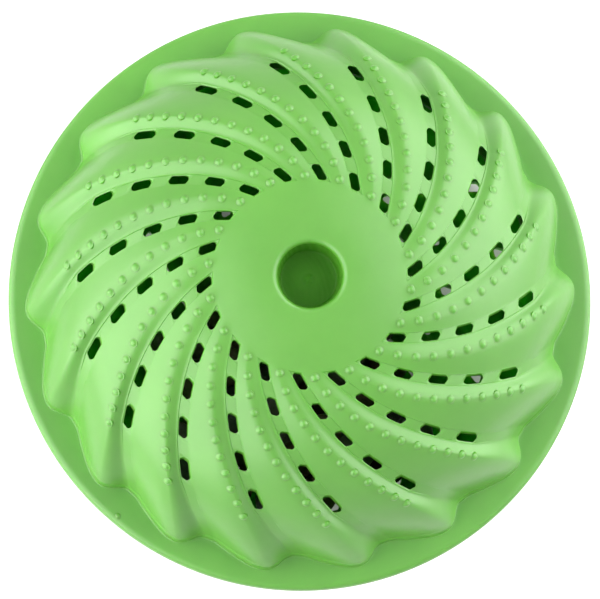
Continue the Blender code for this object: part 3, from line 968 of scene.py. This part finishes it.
class LAUNDRYBALL_OT_shells(bpy.types.Operator):
    """Moulds both half shells: waved domes with slots, hubs with cups, and rims"""

    bl_idname = "laundry_ball.shells"
    bl_label = "Half Shells"

    def execute(self, context):
        shape = HalfShape(context.scene.ball_sizes)
        colours = context.scene.ball_colours
        green, deep = tuple(colours.shell), tuple(colours.shell_deep)
        materials = [
            moulded_plastic("shell_plastic", green, deep, 0.36),
            # The cups' darker green is painted shade for the hollow.
            cup_plastic("cup_plastic", tuple(colours.cup), shaded(colours.cup, 0.85), 0.5),
            moulded_plastic("shell_inside", green, deep, 0.45, 0.0, 0.0045),
        ]
        for side in ("upper", "lower"):
            skin = Skin()
            outer_hub, outer_foot, inner_hub, inner_foot = dome(skin, shape)
            hub_and_cup(skin, shape, outer_hub)
            magnet_boss(skin, shape, inner_hub)
            flange(skin, shape, outer_foot, inner_foot, side == "lower")
            piece = add_piece(f"{side}_half_shell", skin, materials, shape.place(side))
            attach(piece, f"{side}_half")
            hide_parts(f"{side}_shell")
        return {"FINISHED"}


class LAUNDRYBALL_OT_nubs(bpy.types.Operator):
    """Sets the rows of scrubbing nubs on the ridges of both halves"""

    bl_idname = "laundry_ball.nubs"
    bl_label = "Scrubbing Nubs"

    def execute(self, context):
        shape = HalfShape(context.scene.ball_sizes)
        plastic = bpy.data.materials["shell_plastic"]
        for side in ("upper", "lower"):
            piece = add_piece(f"{side}_nubs", nubs(shape), [plastic], shape.place(side))
            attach(piece, f"{side}_half")
        return {"FINISHED"}


class LAUNDRYBALL_OT_magnets(bpy.types.Operator):
    """Presses the disc magnets that sit behind the cups"""

    bl_idname = "laundry_ball.magnets"
    bl_label = "Magnets"

    def execute(self, context):
        shape = HalfShape(context.scene.ball_sizes)
        ferrite = pressed_ferrite("pressed_ferrite", tuple(context.scene.ball_colours.magnet))
        top, bottom = shape.magnet_heights()[:2]
        edge, bend = MAGNET_EDGE, MAGNET_EDGE * 0.3
        profile = [
            (MAGNET_RADIUS - edge, top),
            (MAGNET_RADIUS - bend, top - bend),
            (MAGNET_RADIUS, top - edge),
            (MAGNET_RADIUS, bottom + edge),
            (MAGNET_RADIUS - bend, bottom + bend),
            (MAGNET_RADIUS - edge, bottom),
        ]
        for side in ("upper", "lower"):
            skin = turned_piece(profile)
            piece = add_piece(f"{side}_ferrite_disc", skin, [ferrite], shape.place(side))
            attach(piece, f"{side}_half")
            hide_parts(f"{side}_magnet")
        return {"FINISHED"}


class LAUNDRYBALL_OT_caps(bpy.types.Operator):
    """Moulds the caps that hold the magnets in their bosses"""

    bl_idname = "laundry_ball.caps"
    bl_label = "Magnet Caps"

    def execute(self, context):
        shape = HalfShape(context.scene.ball_sizes)
        green = tuple(context.scene.ball_colours.cap)
        plastic = moulded_plastic("cap_plastic", green, shaded(green, 0.85), 0.42)
        _, _, plug_top, _, cap_top, cap_face = shape.magnet_heights()
        edge = CAP_EDGE
        radius = CUP_MOUTH_RADIUS + shape.sizes.wall
        profile = [
            (MAGNET_RADIUS - edge, plug_top),
            (MAGNET_RADIUS, plug_top - edge),
            (MAGNET_RADIUS, cap_top),
            (radius - edge, cap_top),
            (radius, cap_top - edge),
            (radius, cap_face + edge * 1.6),
            (radius - edge * 0.6, cap_face + edge * 0.5),
            (radius - edge * 1.6, cap_face),
            (radius * 0.62, cap_face),
            (radius * 0.58, cap_face + CAP_DISH_DEPTH),
            (radius * 0.20, cap_face + CAP_DISH_DEPTH),
            (radius * 0.16, cap_face + 0.00002),
            (radius * 0.04, cap_face + 0.00001),
        ]
        for side in ("upper", "lower"):
            skin = turned_piece(profile)
            piece = add_piece(f"{side}_boss_cap", skin, [plastic], shape.place(side))
            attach(piece, f"{side}_half")
            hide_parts(f"{side}_magnet_cap")
        return {"FINISHED"}


class LAUNDRYBALL_OT_beads(bpy.types.Operator):
    """Tumbles the ceramic beads that lie in the lower half"""

    bl_idname = "laundry_ball.beads"
    bl_label = "Ceramic Beads"

    def execute(self, context):
        draw = random.Random(BEAD_SEED)
        colours = context.scene.ball_colours
        for kind in ("cream", "grey", "tan", "brown"):
            glaze = tuple(getattr(colours, f"bead_{kind}"))
            ceramic = tumbled_ceramic(f"ceramic_{kind}", glaze)
            names = sorted(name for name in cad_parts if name.startswith(f"bead_{kind}_"))
            if not names:
                raise RuntimeError(f"the frame has no {kind} beads")
            for name in names:
                low, high = (Vector(corner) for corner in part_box(name))
                piece = self.bead(f"ceramic_{name[5:]}", (high - low).x / 2, ceramic, draw)
                piece.location = (low + high) / 2
                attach(piece, "bead_bed")
                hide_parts(name)
        return {"FINISHED"}

    def bead(self, name, radius, ceramic, draw):
        """One bead, a little out of round as tumbled ceramic is."""
        bm = bmesh.new()
        bmesh.ops.create_icosphere(bm, subdivisions=BEAD_SUBDIVISIONS, radius=1.0)
        seed = Vector([draw.uniform(-50, 50) for _ in range(3)])
        for vertex in bm.verts:
            direction = vertex.co.normalized()
            swell = 0.010 * noise.noise(direction * 1.4 + seed)
            swell += 0.003 * noise.noise(direction * 5.0 + seed)
            vertex.co = direction * radius * (BEAD_FULLNESS + swell)
        piece = add_object(name, bm, [ceramic])
        piece.data.shade_smooth()
        return piece


class LAUNDRYBALL_OT_studio(bpy.types.Operator):
    """Sets the camera, the lamps, the floor and the surroundings"""

    bl_idname = "laundry_ball.studio"
    bl_label = "Studio"

    def execute(self, context):
        settings = context.scene.ball_studio
        self.camera(context, settings)
        self.floor(settings)
        self.surroundings(context, settings)
        self.lamp(context, "left_lamp", LEFT_LAMP, settings.left_lamp)
        self.lamp(context, "right_lamp", RIGHT_LAMP, settings.right_lamp)
        context.scene.view_settings.view_transform = "Standard"
        return {"FINISHED"}

    def camera(self, context, settings):
        """A far camera that leans a little to one side of the ball's axis."""
        lean, side = settings.camera_lean, settings.camera_side
        away = Vector((*polar(sin(lean), side), cos(lean)))
        right = Vector((1, 0, 0))
        right = (right - away * right.dot(away)).normalized()
        turn = Matrix((right, away.cross(right), away)).transposed().to_4x4()
        place = Matrix.Translation(Vector(CAMERA_TARGET) + away * settings.camera_distance)
        data = bpy.data.cameras.new("camera")
        data.lens = data.sensor_width * settings.camera_distance / settings.view_width
        camera = bpy.data.objects.new("camera", data)
        camera.matrix_world = place @ turn
        context.collection.objects.link(camera)
        context.scene.camera = camera

    def floor(self, settings):
        """A pale table that keeps the ball's shadow, with painted shade and light. It glows white only
        away from the ball, so a grey disc stays dark under it and the glow paints over the shadow
        further out.
        """
        material, nodes, shader = new_material("floor_paper")
        paper = tuple(settings.floor)
        distance = nodes.new(
            "VectorMath", {0: nodes.new("TexCoord").outputs["Object"]}, operation="LENGTH"
        ).outputs["Value"]
        # Painted shade: there is no glow near the ball's axis, which leaves a dark grey disc under the
        # ball. Beyond it the glow paints over the ball's shadow.
        outside = nodes.ranged(distance, 0.0, 1.0, settings.painted_shade_start, settings.painted_shade_end)
        seen = nodes.worked("MULTIPLY", nodes.seen(), outside)
        inputs = {
            "Base Color": nodes.mixed(nodes.noise(3.0, 4.0, 0.5), shaded(paper, 0.985), paper),
            "Roughness": 0.9,
            "Specular IOR Level": 0.1,
            "Emission Color": (1.0, 1.0, 1.0),
            "Emission Strength": nodes.ranged(seen, 0.0, settings.floor_glow),
        }
        nodes.fill(shader, inputs)
        bm = bmesh.new()
        bmesh.ops.create_grid(bm, x_segments=8, y_segments=8, size=settings.table_width / 2)
        floor = add_object("floor", bm, [material])

    def surroundings(self, context, settings):
        """Soft light, darker overhead, and white where it is seen past the floor."""
        world = bpy.data.worlds.new("surroundings")
        world.use_nodes = True
        nodes = Nodes(world.node_tree)
        direction = nodes.new("TexCoord").outputs["Generated"]
        shade = self.lobe(nodes, direction, CAMERA_SHADE, settings.camera_shade)
        for side, darkness in ((BACK_SHADE, settings.back_shade), (FRONT_SHADE, settings.front_shade)):
            shade = nodes.worked("ADD", shade, self.lobe(nodes, direction, side, darkness))
        spread = settings.sky - DARKEST_SKY
        inputs = {"A": nodes.ranged(shade, settings.sky, DARKEST_SKY, 0.0, spread), "B": 1.0}
        inputs["Factor"] = nodes.seen()
        strength = nodes.new("Mix", inputs).outputs["Result"]
        background = world.node_tree.nodes["Background"]
        nodes.fill(background, {"Color": (1.0, 1.0, 1.0), "Strength": strength})
        context.scene.world = world

    def lamp(self, context, name, side, brightness):
        """A broad round lamp far away, with this brightness over its whole angle."""
        azimuth, elevation, half_angle = side
        data = bpy.data.lights.new(name, "SUN")
        data.angle = 2 * half_angle
        data.energy = pi * brightness * sin(half_angle) ** 2
        lamp = bpy.data.objects.new(name, data)
        lamp.rotation_euler = (0, pi / 2 - elevation, azimuth)
        context.collection.objects.link(lamp)

    def lobe(self, nodes, direction, side, darkness):
        """A broad patch about a direction, which falls off to all sides."""
        azimuth, elevation, sharpness = side
        middle = (*polar(cos(elevation), azimuth), sin(elevation))
        facing = nodes.new("VectorMath", {0: direction, 1: middle}, operation="DOT_PRODUCT")
        facing = nodes.ranged(facing.outputs["Value"], 0.0, 1.0)
        return nodes.worked("MULTIPLY", nodes.worked("POWER", facing, sharpness), darkness)


class LAUNDRYBALL_PT_panel(bpy.types.Panel):
    """Lists the pieces of the ball and its studio"""

    bl_idname = "LAUNDRYBALL_PT_panel"
    bl_label = "Laundry Ball"
    bl_space_type = "VIEW_3D"
    bl_region_type = "UI"
    bl_category = "Laundry Ball"

    def draw(self, context):
        layout = self.layout
        for operator in OPERATORS:
            layout.operator(operator.bl_idname)
        for name in SETTINGS:
            settings = getattr(context.scene, name)
            box = layout.box()
            for key in settings.bl_rna.properties.keys():
                if key not in {"rna_type", "name"}:
                    box.prop(settings, key)


OPERATORS = (
    LAUNDRYBALL_OT_studio,
    LAUNDRYBALL_OT_shells,
    LAUNDRYBALL_OT_nubs,
    LAUNDRYBALL_OT_magnets,
    LAUNDRYBALL_OT_caps,
    LAUNDRYBALL_OT_beads,
)
SETTINGS = {"ball_sizes": BallSizes, "ball_colours": BallColours, "ball_studio": StudioSettings}


def register():
    for name, settings in SETTINGS.items():
        bpy.utils.register_class(settings)
        setattr(bpy.types.Scene, name, PointerProperty(type=settings))
    for operator in OPERATORS:
        bpy.utils.register_class(operator)
    bpy.utils.register_class(LAUNDRYBALL_PT_panel)


def unregister():
    bpy.utils.unregister_class(LAUNDRYBALL_PT_panel)
    for operator in reversed(OPERATORS):
        bpy.utils.unregister_class(operator)
    for name, settings in reversed(SETTINGS.items()):
        delattr(bpy.types.Scene, name)
        bpy.utils.unregister_class(settings)


def main():
    register()
    bpy.ops.laundry_ball.studio()
    bpy.ops.laundry_ball.shells()
    bpy.ops.laundry_ball.nubs()
    bpy.ops.laundry_ball.magnets()
    bpy.ops.laundry_ball.caps()
    bpy.ops.laundry_ball.beads()


if __name__ == "__main__":
    main()
